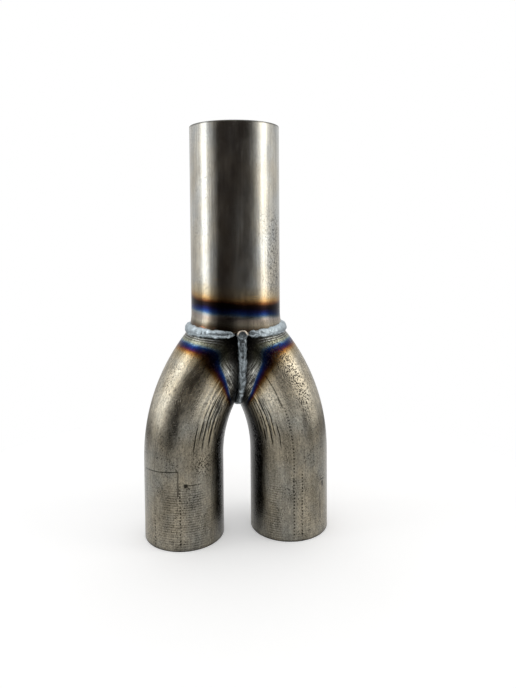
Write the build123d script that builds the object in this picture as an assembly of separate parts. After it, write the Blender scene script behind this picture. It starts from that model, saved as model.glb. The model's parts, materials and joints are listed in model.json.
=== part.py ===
from build123d import *
import math
import os

# A two-into-one wye pipe. Two mandrel-bent inlet tubes lean together, are mitred against each
# other on the centre plane and cut level across the top. One straight outlet tube, its end
# dressed slightly oval, stands on their common mouth. A saddle weld runs up the front valley,
# through the crotch and up the back one, and a collar weld in two runs joins the outlet on.
#
# Frame: the origin is in the plane of the two inlet ends, midway between them. +Z runs up the
# outlet, X runs across the two inlets, and -Y is the front. All sizes are in millimetres.

# Tubes
inlet_od = 50.8
inlet_wall = 1.5
outlet_od = 57.15
outlet_wall = 1.5
inlet_pitch = 69.0           # between the axes of the two inlet ends
inlet_straight = 50.8        # straight run from an inlet's end up to its bend
bend_radius = 101.6          # of the bend's centreline, two inlet diameters
joint_height = 133.5         # plane where both bends are cut and the outlet stands
overall_height = 261.0
edge_break = 0.3             # bevel left by deburring the three open ends

# Outlet's dressed foot, which runs from round to the width of the mouth that it stands on
foot_length = 9.0
foot_overhang = 0.1          # proud of the mouth at the sides
foot_squeeze = 0.8           # lost from the radius front to back

# Saddle weld
saddle_bead_radius = 2.6
saddle_sink = 0.6            # bead centre below the tubes' surface at the top of the valleys
saddle_stand_off = 1.1       # bead centre clear of the tubes' surface in the crotch
saddle_top_drop = 1.8        # bead's two ends below the joint plane
saddle_arcs = 6              # tangent arcs in each half of the bead's path
crater_radius = 3.6          # round end of the bead, where the welder stopped
crater_stand_off = 1.4       # crater's centre further out than the end of the bead's path

# Collar weld, from crater to crater round each side
collar_side_radius = 3.3     # bead radius at the sides
collar_front_radius = 2.7    # bead radius at the front and back
collar_tuck = 1.5            # bead centre behind the foot's face at the front and back
collar_drop = 0.8            # bead centre below the joint plane
collar_start_angle = 4.0     # degrees round from the craters' centre, inside their metal

# Worked out from the sizes above
inlet_radius = inlet_od / 2
outlet_radius = outlet_od / 2
outlet_length = overall_height - joint_height
half_pitch = inlet_pitch / 2
centre_offset = bend_radius - half_pitch     # centre plane to the far-side centre of a bend
outer_radius = bend_radius + inlet_radius    # of a bend's outside
mouth_half_width = math.sqrt(outer_radius**2 - (joint_height - inlet_straight) ** 2) - centre_offset
foot_half_width = mouth_half_width + foot_overhang
foot_half_depth = outlet_radius - foot_squeeze
block = 4 * inlet_od                         # block that is larger than any cut


def hub_angle(height):
    """Angle at a bend's centre, in radians, of the line to a height on the centre plane."""
    return math.atan2(height - inlet_straight, centre_offset)


def valley_point(angle, stand_off):
    """Point on the front half of the centre plane, a distance clear of both bends' surface."""
    height = inlet_straight + centre_offset * math.tan(angle)
    from_axis = centre_offset / math.cos(angle) - bend_radius
    depth = math.sqrt(max((inlet_radius + stand_off) ** 2 - from_axis**2, 0))
    return Vector(0, -depth, height)


def bent_bar(radius):
    """The right-hand inlet as a solid bar, cut off at the centre plane and the joint plane."""
    section = Pos(half_pitch, 0, inlet_straight) * Circle(radius)
    straight = extrude(section, -inlet_straight)
    hub = Axis((-centre_offset, 0, inlet_straight), (0, -1, 0))
    bend = revolve(section, hub, math.degrees(hub_angle(joint_height)))
    keep = Box(block, block, joint_height, align=(Align.MIN, Align.CENTER, Align.MIN))
    return (straight + bend) & keep


def outlet_bar(inset):
    """The outlet as a solid bar, some way inside its outer surface: a straight length and its foot."""
    round_end = Pos(0, 0, joint_height + foot_length) * Circle(outlet_radius - inset)
    oval_end = Pos(0, 0, joint_height) * Ellipse(foot_half_width - inset, foot_half_depth - inset)
    return loft([oval_end, round_end]) + extrude(round_end, outlet_length - foot_length)


def hollow(bar, bore, open_end):
    """A tube from its bar and its bore, with its open end's rims bevelled."""
    tube = bar - bore
    rims = tube.edges().filter_by(GeomType.CIRCLE).group_by(Axis.Z)[open_end]
    return chamfer(rims, edge_break)


def saddle_weld(tubes):
    """Bead in both valleys and through the crotch, with a crater at each end."""
    crotch_angle = math.acos(centre_offset / (bend_radius - inlet_radius - saddle_stand_off))
    top_angle = hub_angle(joint_height - saddle_top_drop)
    corners = [Vector(0, 0, inlet_straight + centre_offset * math.tan(crotch_angle))]
    for i in range(1, saddle_arcs + 1):
        share = (i / saddle_arcs) ** 1.5
        stand_off = saddle_stand_off - share * (saddle_stand_off + saddle_sink)
        angle = crotch_angle + share * (top_angle - crotch_angle)
        corners.append(valley_point(angle, stand_off))
    arcs = []
    heading = Vector(0, -1, 0)
    for start, end in zip(corners, corners[1:]):
        arcs.append(TangentArc(start, end, tangent=heading))
        heading = arcs[-1] % 1
    path = Wire(arcs + [arc.mirror(Plane.XZ) for arc in arcs])
    weld = sweep(Plane(path @ 0, z_dir=path % 0) * Circle(saddle_bead_radius), path)
    for end in (path @ 0, path @ 1):
        outward = Vector(0, math.copysign(crater_stand_off, end.Y), 0)
        weld += Pos(end + outward) * Sphere(crater_radius)
    for tube in tubes:
        weld -= tube
    return weld


def collar_weld(tubes, saddle):
    """Right-hand run of the collar weld, from the front crater round to the back one."""
    start = -90 + collar_start_angle
    path = Pos(0, 0, joint_height - collar_drop) * EllipticalCenterArc(
        (0, 0), mouth_half_width, foot_half_depth - collar_tuck, start, arc_size=-2 * start
    )
    sections = []
    for place, radius in ((0, collar_front_radius), (0.5, collar_side_radius), (1, collar_front_radius)):
        sections.append(Plane(path @ place, z_dir=path % place) * Circle(radius))
    run = sweep(sections, path, multisection=True)
    for neighbour in [*tubes, saddle]:
        run -= neighbour
    return run


def build():
    """Every piece by its node's name. Left and right are as seen from the front."""
    right_bar = bent_bar(inlet_radius)
    right_tube = hollow(right_bar, bent_bar(inlet_radius - inlet_wall), open_end=0)
    outlet = outlet_bar(0)
    tubes = [right_bar, mirror(right_bar, Plane.YZ), outlet]
    saddle = saddle_weld(tubes)
    right_collar = collar_weld(tubes, saddle)
    return {
        "left_inlet_tube": mirror(right_tube, Plane.YZ),
        "right_inlet_tube": right_tube,
        "outlet_tube": hollow(outlet, outlet_bar(outlet_wall), open_end=-1),
        "saddle_weld": saddle,
        "left_collar_weld": mirror(right_collar, Plane.YZ),
        "right_collar_weld": right_collar,
    }


os.makedirs("parts", exist_ok=True)
for name, piece in build().items():
    export_step(piece, f"parts/{name}.step")
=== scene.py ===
"""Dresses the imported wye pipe: heat-tinted tubes, weld beads, a pale studio and the camera.

Everything is in metres, in the frame of the CAD model: +Z up the outlet, X across the two legs
and -Y the front. A leg is an inlet tube, straight at its open end and bent above it.
"""
import json
import math

import bpy
import numpy as np
from mathutils import Matrix, Vector, noise


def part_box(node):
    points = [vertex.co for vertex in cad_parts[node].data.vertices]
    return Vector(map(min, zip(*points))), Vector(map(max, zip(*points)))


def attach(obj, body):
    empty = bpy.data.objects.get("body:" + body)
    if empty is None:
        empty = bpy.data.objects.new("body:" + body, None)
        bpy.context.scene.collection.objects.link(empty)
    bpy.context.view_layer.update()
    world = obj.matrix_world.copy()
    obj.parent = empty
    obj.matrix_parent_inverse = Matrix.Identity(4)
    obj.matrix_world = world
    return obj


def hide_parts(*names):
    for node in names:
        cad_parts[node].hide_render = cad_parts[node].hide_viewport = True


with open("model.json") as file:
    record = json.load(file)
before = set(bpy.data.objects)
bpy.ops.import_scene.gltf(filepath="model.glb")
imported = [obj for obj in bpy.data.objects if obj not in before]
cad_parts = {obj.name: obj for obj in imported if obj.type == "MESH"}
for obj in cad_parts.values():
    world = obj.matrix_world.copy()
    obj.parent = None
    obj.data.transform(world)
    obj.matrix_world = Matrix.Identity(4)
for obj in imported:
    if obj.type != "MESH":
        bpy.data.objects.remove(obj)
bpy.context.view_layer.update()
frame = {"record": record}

MM = 0.001
TURN = 2 * math.pi

# ---------------------------------------------------------------- sizes, from the frame
mounts = {mount["name"]: mount for mount in frame["record"]["mounts"]}


def mount_radius(name):
    """Radius of one of the record's mounts, in metres."""
    return mounts[name]["dims"]["r_mm"] * MM


outlet_radius = mount_radius("outlet_outside")
outlet_bore = mount_radius("outlet_bore")
inlet_radius = mount_radius("right_inlet_outside")
inlet_bore = mount_radius("right_inlet_bore")
half_pitch = mounts["right_inlet_outside"]["pos_m"][0]
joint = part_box("outlet_tube")[0].z      # height of the plane where the outlet stands on the legs
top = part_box("outlet_tube")[1].z
foot_half_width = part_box("outlet_tube")[1].x
straight = 2 * inlet_radius             # run from an inlet's end to its bend, one diameter
bend_radius = 4 * inlet_radius          # of the bend's centreline, two diameters
hub = bend_radius - half_pitch          # centre plane to the far-side centre of a bend
mouth_half_width = math.sqrt((bend_radius + inlet_radius) ** 2 - (joint - straight) ** 2) - hub

FOOT_LENGTH = 9 * MM                    # of the outlet's dressed foot, from its oval up to the round
FOOT_HALF_DEPTH = outlet_radius - 0.8 * MM      # the oval is squeezed from front to back
EDGE_BREAK = 0.3 * MM                   # bevel on the rims of the open ends

SADDLE_TOP = joint - 1.8 * MM           # height of the saddle bead's two ends
SADDLE_LOW = 1.1 * MM                   # stand-off of the bead's centre in the crotch
SADDLE_RISE = 1.7 * MM                  # how much deeper it lies at the top of the valley
SADDLE_BOW = 1.2 * MM                   # the bead wanders this far to one side half-way up
SADDLE_LEAN = 0.7 * MM                  # and ends this far to that side
COLLAR_HALF_DEPTH = FOOT_HALF_DEPTH - 1.5 * MM  # of the collar beads' centreline
COLLAR_DROP = 0.8 * MM                  # collar beads' centre below the joint
BEAD_WANDER = 0.5 * MM                  # how far the beads stray from their paths
CRATER_RADIUS = 3.7 * MM
SINK = 0.8 * MM                         # how far a bead's back lies inside the tubes' walls

COLUMNS = 256                           # faces round a tube
BEAD_COLUMNS = 28                       # faces round a bead
TO_BACK = np.array([1, -1, 1])          # mirrors the front to the back


# ---------------------------------------------------------------- shapes of the tubes
def ring(count):
    """Angles evenly round a full turn."""
    return np.linspace(0, TURN, count, endpoint=False)


def leg_point(around, along, radius):
    """Points on the right leg: angle round the section, distance along the centreline."""
    turn = np.maximum(along - straight, 0) / bend_radius
    reach = bend_radius + radius * np.cos(around)
    x = reach * np.cos(turn) - hub
    z = np.minimum(along, straight) + reach * np.sin(turn)
    return np.stack([x, radius * np.sin(around) + 0 * along, z], axis=-1)


def leg_end(around, radius):
    """Distance along the centreline where the leg is cut, by the centre plane or by the joint."""
    reach = bend_radius + radius * np.cos(around)
    mitre = np.arccos(np.minimum(hub / reach, 1))
    level = np.arcsin(np.minimum((joint - straight) / reach, 1))
    return straight + bend_radius * np.minimum(mitre, level)


def leg_wall(radius, straight_rows, bend_rows):
    """Grid over a leg's wall from just above its open end, and each point's distance along."""
    around = ring(COLUMNS)[None, :]
    low = np.linspace(EDGE_BREAK, straight, straight_rows, endpoint=False)[:, None] + 0 * around
    share = np.linspace(0, 1, bend_rows)[:, None]
    high = straight + share * (leg_end(around, radius) - straight)
    along = np.concatenate([low, high])
    return leg_point(around + 0 * along, along, radius), along


def foot_size(share):
    """Half the width and half the depth of the outlet, a share of the way up its foot."""
    half_width = foot_half_width + share * (outlet_radius - foot_half_width)
    half_depth = FOOT_HALF_DEPTH + share * (outlet_radius - FOOT_HALF_DEPTH)
    return half_width, half_depth


def outlet_wall(inset, rows):
    """Grid over the outlet's wall, from its foot up to just under its open end."""
    around = ring(COLUMNS)[None, :]
    height = np.linspace(joint, top - EDGE_BREAK, rows)[:, None]
    share = np.clip((height - joint) / FOOT_LENGTH, 0, 1)
    half_width, half_depth = foot_size(share * share * (3 - 2 * share))
    x = (half_width - inset) * np.cos(around)
    y = (half_depth - inset) * np.sin(around)
    return np.stack([x, y, height + 0 * x], axis=-1)


def lip(height, outer, bore, centre_x, facing):
    """Rows over a tube's bevelled end, from its outside to its bore: facing up is 1, down is -1."""
    around = ring(COLUMNS)
    third = EDGE_BREAK / 3
    outside = [(outer - third, third), (outer - EDGE_BREAK, 0)]
    inside = [(bore + EDGE_BREAK, 0), (bore + third, third)]
    rows = []
    for radius, below in outside + inside:
        x = centre_x + radius * np.cos(around)
        z = np.full(COLUMNS, height - facing * below)
        rows.append(np.stack([x, radius * np.sin(around), z], axis=-1))
    return np.array(rows)


# ---------------------------------------------------------------- paths of the welds, and their heat
def valley_point(angle, stand_off):
    """Point in the front valley, on the centre plane, a distance clear of both legs."""
    height = straight + hub * math.tan(angle)
    from_axis = hub / math.cos(angle) - bend_radius
    depth = math.sqrt(max((inlet_radius + stand_off) ** 2 - from_axis**2, 0))
    return np.array([0, -depth, height])


def saddle_path(steps):
    """The front half of the saddle weld's centreline, from the crotch up to the crater."""
    first = math.acos(hub / (bend_radius - inlet_radius - SADDLE_LOW))
    last = math.atan2(SADDLE_TOP - straight, hub)
    points = []
    for i in range(steps + 1):
        share = i / steps
        eased = share**1.5
        point = valley_point(first + eased * (last - first), SADDLE_LOW - eased * SADDLE_RISE)
        point[0] += SADDLE_BOW * math.sin(math.pi * min(share * 1.05, 1)) + SADDLE_LEAN * share
        points.append(point)
    return np.array(points)


def collar_path(around):
    """Points on the collar weld's centreline, at angles round the mouth."""
    x = mouth_half_width * np.cos(around)
    y = COLLAR_HALF_DEPTH * np.sin(around)
    return np.stack([x, y, np.full(len(around), joint - COLLAR_DROP)], axis=-1)


def nearest(points, line):
    """Distance from each point of a grid to the nearest point of a fine line."""
    flat = points.reshape(-1, 3)
    best = np.full(len(flat), 1e9)
    for place in line:
        best = np.minimum(best, ((flat - place) ** 2).sum(axis=1))
    return np.sqrt(best).reshape(points.shape[:-1])


def leg_heat(points):
    """Distance from the welds, as the heat spread: narrow beside the crotch, wide further up."""
    collar_radius, saddle_radius = 2.6 * MM, 2.4 * MM
    collar = nearest(points, collar_path(ring(300))) - collar_radius
    front = saddle_path(steps=60)
    saddle = nearest(points, np.concatenate([front, front * TO_BACK])) - saddle_radius
    narrow_below, wide_above = 88 * MM, 114 * MM
    share = np.clip((points[..., 2] - narrow_below) / (wide_above - narrow_below), 0, 1)
    saddle = saddle * (2.1 - 1.45 * share**0.6)
    blend = 2.5 * MM
    return -blend * np.log(np.exp(-collar / blend) + np.exp(-saddle / blend))


# ---------------------------------------------------------------- pieces from grids
def grid_faces(rows, columns, closed, flip):
    """Faces over a grid that wraps round its columns. Unless closed, its two ends are capped."""
    index = np.arange(rows * columns).reshape(rows, columns)
    if closed:
        index = np.concatenate([index, index[:1]])
    index = np.concatenate([index, index[:, :1]], axis=1)
    quads = np.stack([index[:-1, :-1], index[:-1, 1:], index[1:, 1:], index[1:, :-1]], axis=-1)
    quads = quads.reshape(-1, 4)
    faces = quads[:, ::-1].tolist() if flip else quads.tolist()
    if not closed:
        caps = [list(range(columns)), list(range((rows - 1) * columns, rows * columns))]
        caps[1 if flip else 0].reverse()
        faces += caps
    return faces


def add_maps(mesh, maps):
    """Stores pairs of values, one pair a point, as the UV maps that a material reads by name."""
    corners = np.empty(len(mesh.loops), np.int64)
    mesh.loops.foreach_get("vertex_index", corners)
    for key, (first, second) in maps.items():
        pairs = np.stack([first.ravel()[corners], second.ravel()[corners]], axis=-1)
        mesh.uv_layers.new(name=key).data.foreach_set("uv", pairs.astype(np.float32).ravel())


def make_piece(name, grid, node_name, material, maps=None, flip=False):
    """A mesh over a grid, riding on the part's one body. A tube has maps, and no ends to cap."""
    mesh = bpy.data.meshes.new(name)
    faces = grid_faces(*grid.shape[:2], closed=maps is not None, flip=flip)
    mesh.from_pydata(grid.reshape(-1, 3).tolist(), [], faces)
    mesh.polygons.foreach_set("use_smooth", [True] * len(mesh.polygons))
    add_maps(mesh, maps or {})
    mesh.materials.append(material)
    mesh.update()
    piece = bpy.data.objects.new(name, mesh)
    bpy.context.scene.collection.objects.link(piece)
    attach(piece, "root")
    if node_name:
        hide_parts(node_name)


# ---------------------------------------------------------------- node trees
class Nodes:
    """Short calls that build a node tree, from numbers, colours and other nodes' sockets."""

    def __init__(self, owner):
        owner.use_nodes = True
        self.owner = owner
        self.tree = owner.node_tree
        self.shader = self.tree.nodes.get("Principled BSDF")

    def add(self, kind, inputs=None, **settings):
        """Adds a node; an input is linked if it is given a socket, and set otherwise."""
        made = self.tree.nodes.new(kind)
        for key, value in settings.items():
            setattr(made, key, value)
        for key, value in (inputs or {}).items():
            self.feed(made.inputs[key], value)
        return made

    def feed(self, socket, value):
        """Links a socket to the input, or sets the input to a value."""
        if isinstance(value, bpy.types.NodeSocket):
            self.tree.links.new(value, socket)
        else:
            socket.default_value = value

    def math(self, operation, a, b=0.0, c=0.0):
        """One Math node's result."""
        return self.add("ShaderNodeMath", {0: a, 1: b, 2: c}, operation=operation).outputs[0]

    def product(self, first, *others):
        """Values multiplied together: for masks, where all of them are on."""
        for other in others:
            first = self.math("MULTIPLY", first, other)
        return first

    def most(self, masks):
        """The largest of several masks: where any of them is on."""
        largest = masks[0]
        for mask in masks[1:]:
            largest = self.math("MAXIMUM", largest, mask)
        return largest

    def between(self, value, low, high, out_low=0.0, out_high=1.0):
        """Maps a range of values to another, clamped."""
        inputs = {0: value, 1: low, 2: high, 3: out_low, 4: out_high}
        return self.add("ShaderNodeMapRange", inputs).outputs[0]

    def window(self, value, low, high, edge):
        """A mask that is on between two values, with soft edges."""
        rising = self.between(value, low - edge, low + edge)
        return self.product(rising, self.between(value, high + edge, high - edge))

    def vector(self, x, y=0.0, z=0.0):
        """A vector from its three values."""
        return self.add("ShaderNodeCombineXYZ", {0: x, 1: y, 2: z}).outputs[0]

    def stretch(self, vector, scale):
        """A vector scaled along each axis: a small scale draws a pattern out."""
        inputs = {0: vector, 1: scale}
        return self.add("ShaderNodeVectorMath", inputs, operation="MULTIPLY").outputs[0]

    def noise(self, vector, scale, detail=4.0, roughness=0.6, distortion=0.0):
        """Smooth noise, near 0.5."""
        inputs = {
            "Vector": vector, "Scale": scale, "Detail": detail,
            "Roughness": roughness, "Distortion": distortion,
        }
        return self.add("ShaderNodeTexNoise", inputs).outputs["Fac"]

    def cells(self, vector, scale):
        """Distance to the nearest of many scattered points."""
        return self.add("ShaderNodeTexVoronoi", {"Vector": vector, "Scale": scale}).outputs["Distance"]

    def ramp(self, value, stops):
        """A colour for a value, from (value, colour) stops."""
        made = self.add("ShaderNodeValToRGB", {"Fac": value})
        elements = made.color_ramp.elements
        elements.remove(elements[1])
        elements[0].position = stops[0][0]
        elements[0].color = (*stops[0][1], 1)
        for place, colour in stops[1:]:
            elements.new(place).color = (*colour, 1)
        return made.outputs["Color"]

    def mix(self, share, a, b, blend_type="MIX"):
        """A share of colour b over colour a."""
        made = self.add("ShaderNodeMix", data_type="RGBA", blend_type=blend_type)
        for socket, value in ((made.inputs[0], share), (made.inputs[6], a), (made.inputs[7], b)):
            self.feed(socket, (*value, 1) if isinstance(value, tuple) else value)
        return made.outputs[2]


class Metal(Nodes):
    """A metal whose colour and height are built up layer by layer."""

    def __init__(self, name):
        super().__init__(bpy.data.materials.new(name))
        self.colour = None
        self.height = None

    def locate(self):
        """Gives the metal its place in the part's frame: X, Z and how far it is to either side."""
        self.where = self.add("ShaderNodeTexCoord").outputs["Object"]
        self.x, _, self.z = self.add("ShaderNodeSeparateXYZ", {0: self.where}).outputs
        self.aside = self.math("ABSOLUTE", self.x)

    def cover(self, mask, colour):
        """Lays a colour over the colour so far, where a mask is on."""
        self.colour = self.mix(mask, self.colour, colour)

    def tone(self, layer):
        """Multiplies the colour so far by a layer."""
        self.colour = self.mix(1.0, self.colour, layer, "MULTIPLY")

    def darken(self, mask, factor):
        """Multiplies the colour so far by a factor, where a mask is on."""
        self.cover(mask, self.mix(1.0, self.colour, (factor,) * 3, "MULTIPLY"))

    def finish(self, rough, bump_strength, bump_height):
        """Puts the colour, the height and a roughness on the shader, and gives the material."""
        inputs = {"Height": self.height, "Strength": bump_strength, "Distance": bump_height}
        self.feed(self.shader.inputs["Base Color"], self.colour)
        self.shader.inputs["Metallic"].default_value = 1.0
        self.feed(self.shader.inputs["Roughness"], rough)
        self.feed(self.shader.inputs["Normal"], self.add("ShaderNodeBump", inputs).outputs[0])
        return self.owner


class TubeMetal(Metal):
    """Metal that knows how far round and along its tube it lies, and how far from the welds.

    Its angle runs from the tube's front, in radians. It is positive towards a leg's outside, and
    towards the right of the outlet.
    """

    def __init__(self, name):
        super().__init__(name)
        self.round_x, round_y = self.pair("round")
        self.along, self.heat = self.pair("along_heat")
        self.grain = self.vector(self.round_x, round_y, self.along)
        self.angle = self.math("ARCTAN2", self.round_x, self.math("MULTIPLY", round_y, -1.0))

    def pair(self, name):
        """The two values that the piece's mesh holds under a name."""
        held = self.add("ShaderNodeUVMap", uv_map=name).outputs[0]
        return self.add("ShaderNodeSeparateXYZ", {0: held}).outputs[:2]

    def along_noise(self, scale_along, scale, **settings):
        """Noise over the tube, drawn out along it where its scale along is small."""
        return self.noise(self.stretch(self.grain, (1.0, 1.0, scale_along)), scale, **settings)

    def sector(self, first, last, edge):
        """A mask between two angles in degrees, with an edge in radians."""
        return self.window(self.angle, math.radians(first), math.radians(last), edge)

    def span(self, first, last, edge):
        """A mask between two places along the tube, in millimetres."""
        return self.window(self.along, first * MM, last * MM, edge * MM)

    def off_line(self, degrees):
        """Angle away from a line that runs along the tube, in radians."""
        return self.math("ABSOLUTE", self.math("SUBTRACT", self.angle, math.radians(degrees)))


# ---------------------------------------------------------------- metals
# Colours of the oxide on the steel, by how far the metal lies from a weld, in millimetres
LEG_TINT = [
    (0.0, (0.10, 0.095, 0.09)),
    (1.8, (0.20, 0.19, 0.17)),
    (3.2, (0.44, 0.44, 0.32)),
    (4.8, (0.46, 0.50, 0.40)),
    (5.7, (0.22, 0.36, 0.50)),
    (6.6, (0.02, 0.07, 0.29)),
    (7.9, (0.018, 0.025, 0.15)),
    (9.0, (0.07, 0.02, 0.10)),
    (10.0, (0.26, 0.07, 0.03)),
    (11.4, (0.54, 0.28, 0.08)),
    (13.5, (0.70, 0.57, 0.37)),
    (19.0, (0.73, 0.67, 0.56)),
    (29.0, (0.73, 0.68, 0.58)),
]
OUTLET_TINT = [
    (0.0, (0.20, 0.14, 0.09)),
    (1.5, (0.34, 0.29, 0.22)),
    (3.0, (0.60, 0.53, 0.43)),
    (5.8, (0.58, 0.50, 0.45)),
    (7.4, (0.42, 0.46, 0.50)),
    (8.3, (0.12, 0.22, 0.40)),
    (9.4, (0.025, 0.07, 0.27)),
    (11.0, (0.015, 0.02, 0.11)),
    (12.6, (0.015, 0.01, 0.02)),
    (14.8, (0.03, 0.015, 0.01)),
    (16.2, (0.20, 0.08, 0.03)),
    (18.2, (0.60, 0.38, 0.17)),
    (21.0, (0.68, 0.58, 0.42)),
    (27.0, (0.67, 0.66, 0.63)),
]
TINT_REACH = 30.0                # the distance at the ramps' end, in millimetres

# Colours that lie over the oxide; the gold is partly a painted highlight, and the nick and arc colours
# are painted glints
SILVER_LOW = (0.07, 0.068, 0.065)
SILVER_HIGH = (0.98, 0.99, 0.95)
PALE_RIDGE = (0.50, 0.53, 0.54)
GOLD_AND_HIGHLIGHT = (0.84, 0.70, 0.45)
COPPER = (0.62, 0.28, 0.18)
NICK_PAINTED_GLINT = (0.95, 0.62, 0.25)
PIT_BLACK = (0.035, 0.03, 0.025)
ARC_PAINTED_HIGHLIGHT = (0.92, 0.80, 0.66)

# Thin painted glints along nicks on the outlet: height in millimetres, and first and last angle in
# degrees
NICKS = [(155.4, 2, 21), (154.3, 8, 21), (166.0, -34, -26)]
NICK_WIDTH = 0.25                # millimetres

# Long marks that the bending die drew along a leg: angle in degrees, start and end along the
# leg and half the mark's width, in millimetres
DRAW_LINES = [
    (-62, 74, 112, 0.5), (-56, 66, 120, 0.6), (-51, 72, 116, 0.5), (-46, 62, 122, 0.8),
    (-41, 70, 108, 0.5), (-36, 60, 104, 0.7), (-30, 66, 94, 0.5), (-24, 58, 82, 0.5),
]
LINE_FADE = 6                    # millimetres over which a draw line starts and ends
SEAM_FADE = 8                    # millimetres over which a seam ends
CHATTER_PITCH = 1.5 * MM         # of the ridges that the die left round the straight ends
SEAM_PITCH = 2.1 * MM            # of the dots along a seam
RIDGE_PITCH = 1.35 * MM          # of the fine ridges under the collar weld
TUBE_BUMP = 0.15 * MM            # height of the tubes' wear
BEAD_BUMP = 0.25 * MM            # height of the beads' scale

# Each leg's own wear, with angles in degrees and lengths in millimetres
RIGHT_WEAR = {
    "line_shift": 3,                    # turns the draw lines towards the outside
    "seams": [(-4, 92), (8, 50)],       # angle, and where the seam ends
    "chatter": (-42, -22),              # first and last angle
    "pitted": (12, 46, 76, 128),        # first and last angle, start and end along
    "marks": [                          # angle, along, half its reach each way, rise per radian
        (46, 36, 4, 0.4, 0), (46, 33, 2, 1.6, 0), (40, 20, 0.6, 9, 0), (-6, 99, 0.9, 12, 0),
    ],
}
LEFT_WEAR = {
    "line_shift": 14,
    "seams": [(8, 46), (47, 30)],
    "chatter": (-28, 36),
    "pitted": (-40, -8, 44, 62),
    "marks": [
        (41, 48.5, 31, 0.28, -2.4), (10.5, 42, 0.8, 7.5, 0), (0, 40.8, 2.5, 1.2, 0),
        (-12, 41, 10, 0.28, 0),
    ],
}


def tint(paint, distance, stops):
    """Starts a colour with the oxide's, by the distance from a weld."""
    share = paint.math("DIVIDE", distance, TINT_REACH * MM)
    paint.colour = paint.ramp(share, [(place / TINT_REACH, colour) for place, colour in stops])


def common_wear(paint, clouds, pit_amount, grit, pitted=0.0):
    """Streaks along the tube, cloudy handling, grit, and pits that are thick in a pitted area."""
    streaks = paint.along_noise(0.02, 900.0, detail=5.0, roughness=0.7)
    sand = paint.along_noise(0.6, 1300.0, roughness=0.8)
    for value, depth in ((streaks, 0.18), (clouds, 0.10 + 0.6 * grit), (sand, grit)):
        paint.tone(paint.ramp(value, [(0.36, (1 - depth,) * 3), (0.64, (1 + depth * 0.45,) * 3)]))
    patches = paint.along_noise(0.7, 48.0)
    paint.tone(paint.ramp(patches, [(0.36, (0.97, 1.0, 1.01)), (0.62, (1.05, 1.0, 0.89))]))
    region = paint.noise(paint.grain, 60.0, detail=5.0, roughness=0.7)
    region = paint.most([paint.between(region, 0.44, 0.60), pitted])
    cells = paint.cells(paint.stretch(paint.grain, (1.0, 1.0, 0.8)), 1000.0)
    cells = paint.math("SUBTRACT", cells, paint.math("MULTIPLY", pitted, 0.12))
    pits = paint.product(paint.between(cells, 0.36, 0.20), region, pit_amount)
    paint.cover(pits, PIT_BLACK)
    paint.height = paint.math("SUBTRACT", paint.math("MULTIPLY", streaks, 0.3), pits)
    paint.height = paint.math("MULTIPLY_ADD", sand, grit * 2, paint.height)


def handling_clouds(paint):
    """Soft clouds that vary a tube's tone and its gloss."""
    return paint.along_noise(0.35, 120.0, detail=5.0, roughness=0.65)


def outlet_oxide_and_shade(paint):
    """The outlet's tint, which leans to one side, painted shade on its front just above the weld, and
    where it is dull and coppery.
    """
    drift = paint.math("MULTIPLY_ADD", paint.along_noise(2.0, 70.0), 3.0 * MM, paint.heat)
    lean = paint.math("MULTIPLY_ADD", paint.round_x, 0.075, drift)
    tint(paint, paint.math("SUBTRACT", lean, 1.5 * MM), OUTLET_TINT)
    # Painted shade: darkens the front of the outlet just above the weld.
    front_shade = paint.product(paint.sector(-26, 22, 0.25), paint.between(paint.heat, 9.0 * MM, 6.5 * MM))
    paint.darken(front_shade, 0.22)
    dull = paint.product(
        paint.sector(26, 150, 0.25),
        paint.between(paint.heat, 14 * MM, 12 * MM),
        paint.between(lean, 7.5 * MM, 9.0 * MM),
    )
    paint.darken(dull, 0.40)
    flecks = paint.noise(paint.stretch(paint.grain, (0.6, 0.6, 1.6)), 420.0, detail=2.0)
    flecks = paint.product(
        paint.between(flecks, 0.54, 0.62),
        paint.between(paint.heat, 2.6 * MM, 1.6 * MM),
        paint.sector(-62, -24, 0.15),
        0.55,
    )
    paint.cover(flecks, COPPER)


def outlet_marks(paint):
    """The outlet's dark rim, a band of rusty specks down one side, and painted glints along nicks."""
    paint.darken(paint.between(paint.along, top - 1.2 * MM, top - 0.4 * MM), 0.25)
    specks = paint.between(paint.along_noise(0.5, 1100.0, detail=3.0, roughness=0.7), 0.51, 0.58)
    paint.darken(paint.product(paint.sector(38, 72, 0.12), paint.span(157, 204, 7), specks), 0.22)
    # Painted glints: a bright line along each nick.
    for place, first, last in NICKS:
        line = paint.span(place, place + NICK_WIDTH, 0.15)
        paint.cover(paint.product(line, paint.sector(first, last, 0.05), 0.8), NICK_PAINTED_GLINT)


def outlet_metal():
    """Bare drawn tube, satin, with a heat tint above its weld, painted shade on its front and painted
    glints on its nicks.
    """
    paint = TubeMetal("satin_tube")
    clouds = handling_clouds(paint)
    outlet_oxide_and_shade(paint)
    common_wear(paint, clouds, pit_amount=0.45, grit=0.12)
    outlet_marks(paint)
    rough = paint.between(clouds, 0.3, 0.7, 0.16, 0.25)
    return paint.finish(rough, bump_strength=0.3, bump_height=TUBE_BUMP)


def brushed_valley(paint):
    """Silver beside the saddle weld, where the leg was brushed on a slant."""
    across = paint.math("MULTIPLY_ADD", paint.z, -0.42, paint.math("MULTIPLY", paint.aside, 0.84))
    slant = paint.vector(across, paint.math("MULTIPLY", paint.z, 0.10))
    bright = paint.between(paint.noise(slant, 1300.0, roughness=0.7), 0.42, 0.60)
    bright = paint.product(bright, paint.between(paint.heat, 0.8 * MM, 3.0 * MM, 0.35, 1.0))
    near = paint.product(
        paint.between(paint.heat, 6.4 * MM, 5.4 * MM),
        paint.between(paint.z, 120 * MM, 112 * MM),
        paint.between(paint.aside, 20 * MM, 15 * MM),
    )
    paint.cover(near, paint.mix(bright, SILVER_LOW, SILVER_HIGH))


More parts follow.
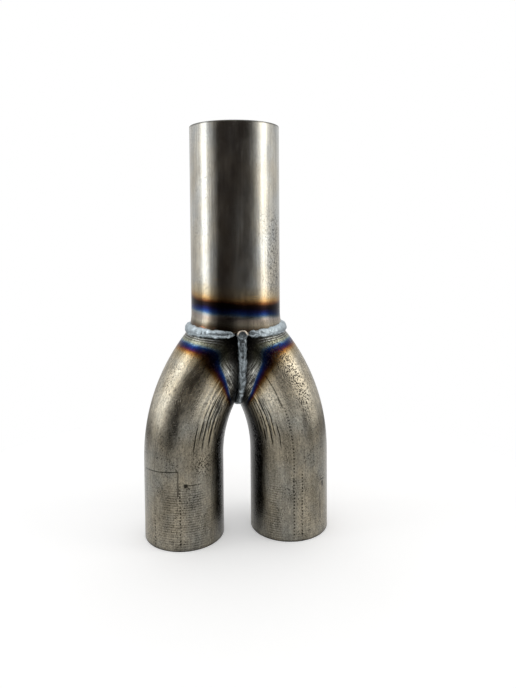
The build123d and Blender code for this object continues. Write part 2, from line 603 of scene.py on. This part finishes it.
def throat_shade_and_smoke(paint):
    """Painted shade in the recess between the welds under the outlet's foot, above the silver, and
    smoke along the tint.
    """
    # Painted shade: darkens the legs near the centre, just under the outlet's foot.
    throat_shade = paint.product(
        paint.between(paint.aside, 22 * MM, 10 * MM), paint.between(paint.z, 107 * MM, 117 * MM)
    )
    paint.darken(throat_shade, 0.16)
    smoke = paint.product(
        paint.between(paint.heat, 4.8 * MM, 9.4 * MM),
        paint.between(paint.heat, 17 * MM, 11 * MM),
        paint.between(paint.aside, 31 * MM, 23 * MM),
        paint.between(paint.z, 86 * MM, 100 * MM, 0.35, 1.0),
    )
    paint.darken(smoke, 0.18)


def collar_ridges(paint, sparse):
    """Fine ridges under the collar weld, away from the middle."""
    waviness = paint.math("MULTIPLY", sparse, 3.0)
    waves = paint.math("SINE", paint.math("MULTIPLY_ADD", paint.heat, TURN / RIDGE_PITCH, waviness))
    beside = paint.product(
        paint.between(paint.heat, 4.4 * MM, 3.4 * MM),
        paint.between(paint.aside, 10 * MM, 18 * MM),
        paint.between(paint.z, 112 * MM, 118 * MM),
    )
    paint.cover(paint.product(paint.between(waves, -0.2, 0.7), beside, 0.75), PALE_RIDGE)
    paint.darken(paint.product(paint.between(waves, 0.0, -0.8), beside), 0.35)


def saddle_edge(paint):
    """The dark edge where the saddle weld meets the leg."""
    edge = paint.product(
        paint.between(paint.aside, 7.5 * MM, 3.5 * MM), paint.between(paint.z, 80 * MM, 90 * MM)
    )
    paint.darken(edge, 0.18)


def drawn_marks(paint, line_shift):
    """Dark lines and fine scratches along the inside of the bend, on gold streaks that are partly a
    painted highlight. Gives their mask.
    """
    clear = paint.between(paint.heat, 9.5 * MM, 12.5 * MM)
    lines = []
    for degrees, start, end, half_width in DRAW_LINES:
        half_angle = half_width * MM / inlet_radius
        lines.append(paint.product(
            paint.between(paint.off_line(degrees + line_shift), half_angle, half_angle * 0.4),
            paint.between(paint.along, start * MM, (start + LINE_FADE) * MM),
            paint.between(paint.along, end * MM, (end - LINE_FADE) * MM),
        ))
    fine = paint.along_noise(0.04, 900.0, detail=3.0)
    field = paint.sector(line_shift - 62, line_shift - 26, 0.16)
    field = paint.product(field, paint.span(66, 124, 9), clear)
    # Gold streaks of the tint, made brighter than it as a painted highlight.
    paint.cover(paint.product(paint.between(fine, 0.50, 0.40), field, 0.5), GOLD_AND_HIGHLIGHT)
    scratches = paint.product(paint.between(fine, 0.50, 0.58), field, 0.9)
    dashes = paint.between(paint.along_noise(0.2, 600.0, detail=3.0), 0.34, 0.44)
    drawn = paint.product(paint.most([*lines, scratches]), paint.product(dashes, clear))
    paint.darken(drawn, 0.06)
    return drawn


def dotted_seams(paint, sparse, seams):
    """Rows of dark dots up a leg from its open end."""
    lines = []
    for degrees, end in seams:
        line = paint.between(paint.off_line(degrees), 0.030, 0.012)
        below_end = paint.between(paint.along, end * MM, (end - SEAM_FADE) * MM)
        lines.append(paint.product(line, below_end))
    beat = paint.math("SINE", paint.math("MULTIPLY", paint.along, TURN / SEAM_PITCH))
    dots = paint.product(paint.between(beat, -0.5, 0.4), paint.between(sparse, 0.36, 0.50))
    paint.darken(paint.product(paint.most(lines), dots), 0.16)


def die_chatter(paint, sparse, sector):
    """Broken ridges round the straight end, in one sector and in patches. Gives their height."""
    rise = paint.math("MULTIPLY", paint.along, TURN / CHATTER_PITCH)
    waves = paint.math("SINE", paint.math("MULTIPLY_ADD", sparse, 1.5, rise))
    zone = paint.product(paint.sector(*sector, 0.12), paint.between(paint.along, 44 * MM, 34 * MM))
    patches = paint.between(paint.along_noise(0.6, 75.0, detail=3.0), 0.50, 0.62, 0.0, 0.5)
    patches = paint.product(patches, paint.between(paint.along, 52 * MM, 40 * MM))
    broken = paint.between(paint.along_noise(0.5, 420.0, detail=3.0), 0.34, 0.56)
    chatter = paint.product(waves, paint.product(paint.most([zone, patches]), broken))
    paint.darken(paint.product(paint.between(chatter, 0.0, 0.8), 0.75), 0.30)
    return chatter


def handling_marks(paint, sparse, marks):
    """Scuffs, a clamp's line and a spot."""
    for degrees, place, half_round, half_along, rise in marks:
        off = paint.math("SUBTRACT", paint.angle, math.radians(degrees))
        level = paint.math("MULTIPLY_ADD", off, -rise * MM, paint.along)
        low, high = (place - half_along) * MM, (place + half_along) * MM
        mark = paint.product(
            paint.sector(degrees - half_round, degrees + half_round, 0.012),
            paint.window(level, low, high, 0.15 * MM),
            paint.between(sparse, 0.30, 0.42),
        )
        paint.darken(mark, 0.12)


def leg_darkening_and_shade(paint, clouds):
    """Darker towards the straight end, painted shade on the inside of the pair, and painted shade
    along the bottom rim where it stands on the floor.
    """
    # Darker towards the bottom of the leg, in cloudy patches.
    level = paint.math("MULTIPLY_ADD", clouds, 24 * MM, paint.z)
    paint.darken(paint.between(level, 104 * MM, 80 * MM), 0.40)
    # Painted shade on the insides of the legs, where they face each other.
    inside = paint.product(
        paint.sector(-132, -48, 0.22),
        paint.between(paint.along, 2 * MM, 30 * MM, 0.45, 1.0),
        paint.between(paint.z, 98 * MM, 82 * MM, 0.55, 1.0),
    )
    paint.darken(inside, 0.10)
    # Painted shade along the bottom rim, where the leg stands on the floor.
    paint.darken(paint.between(paint.along, 1.6 * MM, 0.2 * MM), 0.25)


def leg_metal(name, line_shift, seams, chatter, pitted, marks):
    """Bare bent tube: heat tint, a brushed valley, draw lines, chatter from the die, wear, and painted
    shade and highlight.
    """
    paint = TubeMetal(name)
    paint.locate()
    clouds = handling_clouds(paint)
    sparse = paint.noise(paint.grain, 500.0, detail=3.0)
    wander = paint.noise(paint.grain, 110.0, detail=5.0, roughness=0.7)
    drift = paint.math("MULTIPLY_ADD", wander, 3.4 * MM, paint.heat)
    tint(paint, paint.math("SUBTRACT", drift, 1.7 * MM), LEG_TINT)
    brushed_valley(paint)
    throat_shade_and_smoke(paint)
    collar_ridges(paint, sparse)
    saddle_edge(paint)

    # From here on the angle wobbles a little along the tube, so that no line is dead straight
    wobble = paint.noise(paint.grain, 120.0, detail=2.0)
    wobble = paint.math("MULTIPLY_ADD", wobble, 0.05, -0.025)
    paint.angle = paint.math("ADD", paint.angle, wobble)
    first, last, start, end = pitted
    area = paint.product(paint.sector(first, last, 0.15), paint.span(start, end, 8))
    common_wear(paint, clouds, pit_amount=0.95, grit=0.48, pitted=area)
    drawn = drawn_marks(paint, line_shift)
    dotted_seams(paint, sparse, seams)
    ridges = die_chatter(paint, sparse, chatter)
    handling_marks(paint, sparse, marks)
    leg_darkening_and_shade(paint, clouds)
    paint.height = paint.math("SUBTRACT", paint.height, drawn)
    paint.height = paint.math("MULTIPLY_ADD", ridges, 0.35, paint.height)
    rough = paint.between(clouds, 0.3, 0.7, 0.22, 0.36)
    return paint.finish(rough, bump_strength=0.6, bump_height=TUBE_BUMP)


def crater_painted_light(paint):
    """Painted shade in the crater's dip, and a painted highlight on the arc over it."""
    off_x = paint.math("SUBTRACT", paint.x, SADDLE_LEAN)
    off = paint.vector(off_x, 0.0, paint.math("SUBTRACT", paint.z, SADDLE_TOP))
    away = paint.add("ShaderNodeVectorMath", {0: off}, operation="LENGTH").outputs["Value"]
    # Painted shade in the crater's dimple.
    dip_shade = paint.product(
        paint.between(away, 2.9 * MM, 2.2 * MM),
        paint.between(paint.z, SADDLE_TOP - 1.5 * MM, SADDLE_TOP + 1 * MM),
    )
    paint.darken(dip_shade, 0.55)
    # Painted highlight along the top of the crater's rim.
    arc = paint.product(
        paint.between(away, 2.6 * MM, 3.0 * MM),
        paint.between(away, 4.2 * MM, 3.8 * MM),
        paint.between(paint.z, SADDLE_TOP, SADDLE_TOP + 1.5 * MM),
        0.85,
    )
    paint.cover(arc, ARC_PAINTED_HIGHLIGHT)


def weld_metal():
    """As-welded bead metal: a smooth blue-white skin, streaked near the middle and darkened there by
    painted shade, with painted light at the crater.
    """
    paint = Metal("weld_bead")
    paint.locate()
    mottle = paint.noise(paint.where, 260.0, detail=6.0, roughness=0.72, distortion=0.6)
    specks = paint.noise(paint.where, 1300.0, detail=3.0)
    streaks = paint.noise(paint.stretch(paint.where, (1.0, 1.0, 0.16)), 900.0, roughness=0.7)
    paint.colour = paint.ramp(mottle, [
        (0.28, (0.14, 0.16, 0.165)), (0.38, (0.40, 0.46, 0.49)), (0.52, (0.54, 0.62, 0.67)),
        (0.68, (0.68, 0.75, 0.79)),
    ])
    middle = paint.between(paint.aside, 16 * MM, 6 * MM)
    amount = paint.math("MULTIPLY_ADD", middle, 0.7, 0.3)
    paint.darken(paint.product(paint.between(specks, 0.42, 0.34), amount), 0.3)
    paint.darken(paint.product(middle, paint.between(streaks, 0.54, 0.44)), 0.35)
    # Painted shade near the middle, where the beads lie deep between the tubes.
    paint.darken(paint.product(middle, 0.8), 0.55)
    crater_painted_light(paint)
    paint.height = paint.math("MULTIPLY_ADD", mottle, 1.5, specks)
    rough = paint.between(mottle, 0.35, 0.6, 0.5, 0.3)
    return paint.finish(rough, bump_strength=0.35, bump_height=BEAD_BUMP)


# ---------------------------------------------------------------- build the tubes
def tube_maps(along, heat, radius):
    """What a tube's material reads: the place round the section, along it, and the heat."""
    around = ring(COLUMNS)[None, :] + 0 * along
    return {"round": (radius * np.cos(around), radius * np.sin(around)), "along_heat": (along, heat)}


def build_outlet():
    """The outlet tube, outside, rim and bore."""
    outer = outlet_wall(inset=0, rows=170)
    rim = lip(top, outlet_radius, outlet_bore, centre_x=0, facing=1)
    inner = outlet_wall(inset=outlet_radius - outlet_bore, rows=60)
    grid = np.concatenate([outer, rim, inner[::-1]])
    height = grid[..., 2]
    bead_height = 2.2 * MM
    maps = tube_maps(height, height - joint - bead_height, outlet_radius)
    make_piece("outlet", grid, "outlet_tube", outlet_metal(), maps)


def build_leg(side, name, node_name, wear):
    """One leg, bottom rim, outside and bore: the right one, or its mirror image for side -1."""
    rim = lip(0, inlet_radius, inlet_bore, centre_x=half_pitch, facing=-1)
    outer, outer_along = leg_wall(inlet_radius, straight_rows=64, bend_rows=112)
    inner, inner_along = leg_wall(inlet_bore, straight_rows=24, bend_rows=56)
    grid = np.concatenate([rim[::-1], outer, inner[::-1]])
    along = np.concatenate([rim[..., 2], outer_along, inner_along[::-1]])
    maps = tube_maps(along, leg_heat(grid), inlet_radius)
    metal = leg_metal(name + "_metal", **wear)
    grid = grid * np.array([side, 1, 1])
    make_piece(name, grid, node_name, metal, maps, flip=side < 0)


# ---------------------------------------------------------------- build the weld beads
def depth_inside(points):
    """How far points lie inside the tubes taken as solid bars; negative outside."""
    x, y, z = np.abs(points[..., 0]), points[..., 1], points[..., 2]
    from_axis = np.hypot(x + hub, np.maximum(z - straight, 0)) - bend_radius
    leg = inlet_radius - np.hypot(from_axis, y)
    half_width, half_depth = foot_size(np.clip((z - joint) / FOOT_LENGTH, 0, 1))
    pipe = (1 - np.hypot(x / half_width, y / half_depth)) * half_depth
    return np.where(z > joint, pipe, leg)


def settle(centre, direction, reach):
    """Points out along directions, drawn in by halving where they would lie too deep in a tube."""
    low, high = np.zeros_like(reach), reach.copy()
    too_deep = depth_inside(centre + direction * reach[..., None]) > SINK
    for _ in range(24):
        middle = (low + high) / 2
        deep = depth_inside(centre + direction * middle[..., None]) > SINK
        high = np.where(deep, middle, high)
        low = np.where(deep, low, middle)
    reach = np.where(too_deep, low, reach)
    return centre + direction * reach[..., None]


def bead_grid(path, outward, radii):
    """Rings along a path, full outside the tubes and drawn in to just under their surface."""
    tangent = np.gradient(path, axis=0)
    tangent /= np.linalg.norm(tangent, axis=1)[:, None]
    outward = outward - (outward * tangent).sum(axis=1)[:, None] * tangent
    outward /= np.linalg.norm(outward, axis=1)[:, None]
    across = np.cross(tangent, outward)
    turn = ring(BEAD_COLUMNS)[None, :, None]
    direction = outward[:, None] * np.cos(turn) + across[:, None] * np.sin(turn)
    reach = radii[:, None] + np.zeros(BEAD_COLUMNS)[None, :]
    return settle(path[:, None], direction, reach)


def ripple(points, centre, size, amount, seed):
    """Moves points of a bead in and out by smooth noise."""
    flat = points.reshape(-1, 3)
    middle = np.broadcast_to(centre, points.shape).reshape(-1, 3)
    moved = np.empty_like(flat)
    for i, (point, core) in enumerate(zip(flat, middle)):
        value = noise.fractal(Vector(point) / size + Vector((seed, 0, 0)), 0.8, 2.0, 3)
        moved[i] = core + (point - core) * (1 + amount * value)
    return moved.reshape(points.shape)


def build_saddle():
    """The bead from the front crater down through the crotch and up to the back one."""
    front = saddle_path(steps=150)
    back = front[::-1] * TO_BACK
    path = np.concatenate([front[::-1], back[::-1][1:]])
    share = np.linspace(-1, 1, len(path))
    swell = np.array([noise.noise(Vector((value * 9, 2.0, 1.0))) for value in share])
    radii = (2.35 + 0.65 * np.abs(share) ** 0.8) * (1 + 0.16 * swell) * MM
    path[:, 0] += BEAD_WANDER * np.roll(swell, 12)
    out_y = np.sign(path[:, 1]) * np.abs(share) ** 0.5
    outward = np.stack([0 * share, out_y, -(1 - np.abs(share)) - 0.05], axis=-1)
    grid = bead_grid(path, outward, radii)
    grid = ripple(grid, path[:, None], size=2.4 * MM, amount=0.13, seed=3.0)
    make_piece("saddle_bead", grid, "saddle_weld", bead_metal)


def build_collar(side, name, node_name):
    """One run of the collar weld, thickest at the side, with its ends rounded off."""
    gap = 7 if side < 0 else 6          # degrees short of the front and the back
    around = np.radians(np.linspace(-90 + gap, 90 - gap, 420))
    path = collar_path(around)
    from_end = 1 - np.abs(np.linspace(-1, 1, len(around)))
    taper = np.clip(from_end / 0.10, 0.02, 1) ** 0.38
    swell = np.array([noise.noise(Vector((angle * 7, 5.0 * side, 0))) for angle in around])
    radii = (2.6 + 0.95 * np.cos(around) ** 2) * (1 + 0.12 * swell) * taper * MM
    path[:, 2] += BEAD_WANDER * np.roll(swell, 30)
    outward = np.stack([np.cos(around), np.sin(around), 0.15 + 0 * around], axis=-1)
    grid = bead_grid(path, outward, radii)
    grid = ripple(grid, path[:, None], size=2.4 * MM, amount=0.12, seed=7.0 * side)
    grid = grid * np.array([side, 1, 1])
    make_piece(name, grid, node_name, bead_metal, flip=side < 0)


def build_crater(outward, name):
    """Round end of the saddle bead: a blob with a dimple where the arc was broken.

    Outward is the sign of the direction along Y that the crater faces.
    """
    centre = saddle_path(steps=10)[-1] * np.array([1, -outward, 1])
    centre = centre + np.array([0, outward * 1.9 * MM, 0.4 * MM])
    polar = np.linspace(0.02, math.pi - 0.02, 40)[:, None]
    around = ring(48)[None, :]
    x = np.sin(polar) * np.cos(around)
    y = outward * np.cos(polar) + 0 * around
    z = np.sin(polar) * np.sin(around)
    direction = np.stack([x, y, z], axis=-1)
    dimple_tilt = math.radians(24)
    toward = direction @ np.array([0, outward * math.cos(dimple_tilt), math.sin(dimple_tilt)])
    from_dimple = np.arccos(np.clip(toward, -1, 1))
    dimple = 1 - 0.36 * np.exp(-((from_dimple / 0.66) ** 4))
    narrowed = 1 - 0.2 * np.sin(polar) * np.clip(-np.sin(around), 0, 1)
    reach = CRATER_RADIUS * dimple * narrowed * (0.72 + 0.28 * np.sin(polar))
    grid = settle(centre, direction, reach)
    grid = ripple(grid, centre, size=3.0 * MM, amount=0.06, seed=11.0)
    make_piece(name, grid, None, bead_metal, flip=outward > 0)


bead_metal = weld_metal()
build_outlet()
build_leg(1, "right_leg", "right_inlet_tube", RIGHT_WEAR)
build_collar(1, "right_collar_bead", "right_collar_weld")
build_crater(1, "back_crater")
build_leg(-1, "left_leg", "left_inlet_tube", LEFT_WEAR)
build_collar(-1, "left_collar_bead", "left_collar_weld")
build_crater(-1, "front_crater")
build_saddle()

# ---------------------------------------------------------------- studio
CAMERA_AZIMUTH = -0.118158       # round the part from its front, in radians as all its angles
CAMERA_DISTANCE = 381.99 * MM
CAMERA_HEIGHT = 198.53 * MM
CAMERA_YAW = -0.039345           # further turn away from the part's axis
CAMERA_PITCH = 0.049393          # looking down
CAMERA_ROLL = -0.006914
CAMERA_LENS = 30.97
CAMERA_SHIFT = (-0.00073, -0.13011)

FLOOR_RADIUS = 0.25
FLOOR_GLOW = 0.28                # what the camera and reflections see added to the pale floor

# Brightness of the room by the angle round from the camera's side, in degrees
ROOM = [
    (-180, 0.30), (-160, 0.75), (-128, 0.62), (-104, 0.85), (-84, 1.0), (-74, 0.92), (-60, 0.40),
    (-44, 0.025), (0, 0.028), (36, 0.03), (52, 0.26), (66, 0.88), (84, 1.0), (104, 0.85), (128, 0.60),
    (160, 0.80), (180, 0.30),
]
CEILING = 0.95                   # brightness overhead
TABLE = (0, 64, -0.6, -0.22)     # a lit patch below: first and last angle, low and high end
TABLE_BRIGHTNESS = 0.80
ROOM_LIGHT = 0.9                 # how much of the room's brightness falls on the part
WHITE = (1, 1, 1, 1)

LAMP_DISTANCE = 1.1
LAMP_HEIGHT = 0.45
LAMP_LENGTH = 1.2
LAMP_POWER = 1.9
LAMP_AIM = Vector((0, 0, 0.13))


def make_camera():
    """The camera, which stands a little to the left and above."""
    data = bpy.data.cameras.new("camera")
    data.sensor_width = 36
    data.lens = CAMERA_LENS
    data.shift_x, data.shift_y = CAMERA_SHIFT
    data.clip_start = 0.01
    data.clip_end = 50
    camera = bpy.data.objects.new("camera", data)
    turn = CAMERA_AZIMUTH + CAMERA_YAW
    forward = Vector((-math.sin(turn), math.cos(turn), 0)) * math.cos(CAMERA_PITCH)
    forward.z = -math.sin(CAMERA_PITCH)
    level = Vector((math.cos(turn), math.sin(turn), 0))
    up = level.cross(forward)
    right = level * math.cos(CAMERA_ROLL) + up * math.sin(CAMERA_ROLL)
    up = up * math.cos(CAMERA_ROLL) - level * math.sin(CAMERA_ROLL)
    place = Vector((math.sin(CAMERA_AZIMUTH), -math.cos(CAMERA_AZIMUTH), 0)) * CAMERA_DISTANCE
    place.z = CAMERA_HEIGHT
    turned = Matrix((right, up, -forward)).transposed()
    camera.matrix_world = Matrix.Translation(place) @ turned.to_4x4()
    bpy.context.scene.collection.objects.link(camera)
    bpy.context.scene.camera = camera


def room_colour(paint):
    """A pale room that is dark behind the camera, dim below the horizon and bright overhead."""
    direction = paint.add("ShaderNodeTexCoord").outputs["Generated"]
    x, y, z = paint.add("ShaderNodeSeparateXYZ", {0: direction}).outputs
    angle = paint.math("ARCTAN2", x, paint.math("MULTIPLY", y, -1.0))
    around = paint.math("SUBTRACT", angle, CAMERA_AZIMUTH)
    share = paint.math("FRACT", paint.math("MULTIPLY_ADD", around, 1 / TURN, 0.5))
    stops = [(degrees / 360 + 0.5, (value, value - 0.005, value - 0.008)) for degrees, value in ROOM]
    walls = paint.mix(paint.between(z, 0.0, -0.25, 0.0, 0.55), paint.ramp(share, stops), (0, 0, 0))
    first, last, low, high = TABLE
    lit = paint.window(around, math.radians(first), math.radians(last), 0.14)
    lit = paint.product(lit, paint.window(z, low, high, 0.04))
    walls = paint.mix(lit, walls, (TABLE_BRIGHTNESS,) * 3)
    return paint.mix(paint.between(z, 0.3, 0.7), walls, (CEILING,) * 3)


def make_world():
    """White to the camera, and the pale room to the metal."""
    world = bpy.data.worlds.new("studio")
    bpy.context.scene.world = world
    paint = Nodes(world)
    paint.tree.nodes.clear()
    room = room_colour(paint)
    path = paint.add("ShaderNodeLightPath").outputs
    seen = paint.math("MAXIMUM", path["Is Glossy Ray"], path["Is Transmission Ray"])
    light = paint.add("ShaderNodeBackground", {"Color": room, "Strength": ROOM_LIGHT}).outputs[0]
    mirrored = paint.add("ShaderNodeBackground", {"Color": room, "Strength": 1.0}).outputs[0]
    white = paint.add("ShaderNodeBackground", {"Color": WHITE, "Strength": 1.0}).outputs[0]
    unseen = paint.add("ShaderNodeMixShader", {0: seen, 1: light, 2: mirrored}).outputs[0]
    surface = paint.add("ShaderNodeMixShader", {0: path["Is Camera Ray"], 1: unseen, 2: white})
    paint.add("ShaderNodeOutputWorld", {"Surface": surface.outputs[0]})


def make_floor():
    """A pale round sheet under the part, just wide enough to hold its shadow."""
    mesh = bpy.data.meshes.new("floor")
    rim = [(FLOOR_RADIUS * math.cos(angle), FLOOR_RADIUS * math.sin(angle), 0) for angle in ring(96)]
    mesh.from_pydata(rim, [], [range(len(rim))])
    floor = bpy.data.objects.new("floor", mesh)
    bpy.context.scene.collection.objects.link(floor)
    paint = Nodes(bpy.data.materials.new("pale_floor"))
    paint.shader.inputs["Base Color"].default_value = (0.93, 0.93, 0.93, 1)
    paint.shader.inputs["Roughness"].default_value = 0.9
    paint.shader.inputs["Specular IOR Level"].default_value = 0.1
    paint.shader.inputs["Emission Color"].default_value = WHITE
    path = paint.add("ShaderNodeLightPath").outputs
    seen = paint.most([path["Is Camera Ray"], path["Is Glossy Ray"], path["Is Transmission Ray"]])
    paint.feed(paint.shader.inputs["Emission Strength"], paint.product(seen, FLOOR_GLOW))
    mesh.materials.append(paint.owner)


def make_lamp(name, azimuth, width, colour):
    """An upright soft box, turned to the part from an angle round it in degrees."""
    data = bpy.data.lights.new(name, "AREA")
    data.shape = "RECTANGLE"
    data.size = width
    data.size_y = LAMP_LENGTH
    data.energy = LAMP_POWER
    data.color = colour
    lamp = bpy.data.objects.new(name, data)
    angle = math.radians(azimuth)
    place = Vector((math.sin(angle), -math.cos(angle), 0)) * LAMP_DISTANCE
    place.z = LAMP_HEIGHT
    lamp.location = place
    lamp.rotation_euler = (LAMP_AIM - place).to_track_quat("-Z", "Y").to_euler()
    lamp.visible_camera = False
    bpy.context.scene.collection.objects.link(lamp)


make_camera()
make_world()
make_floor()
make_lamp("left_lamp", -89, 0.38, (0.97, 0.99, 1.0))
make_lamp("right_lamp", 71, 0.42, (1.0, 0.97, 0.9))

bpy.context.scene.view_settings.view_transform = "Standard"
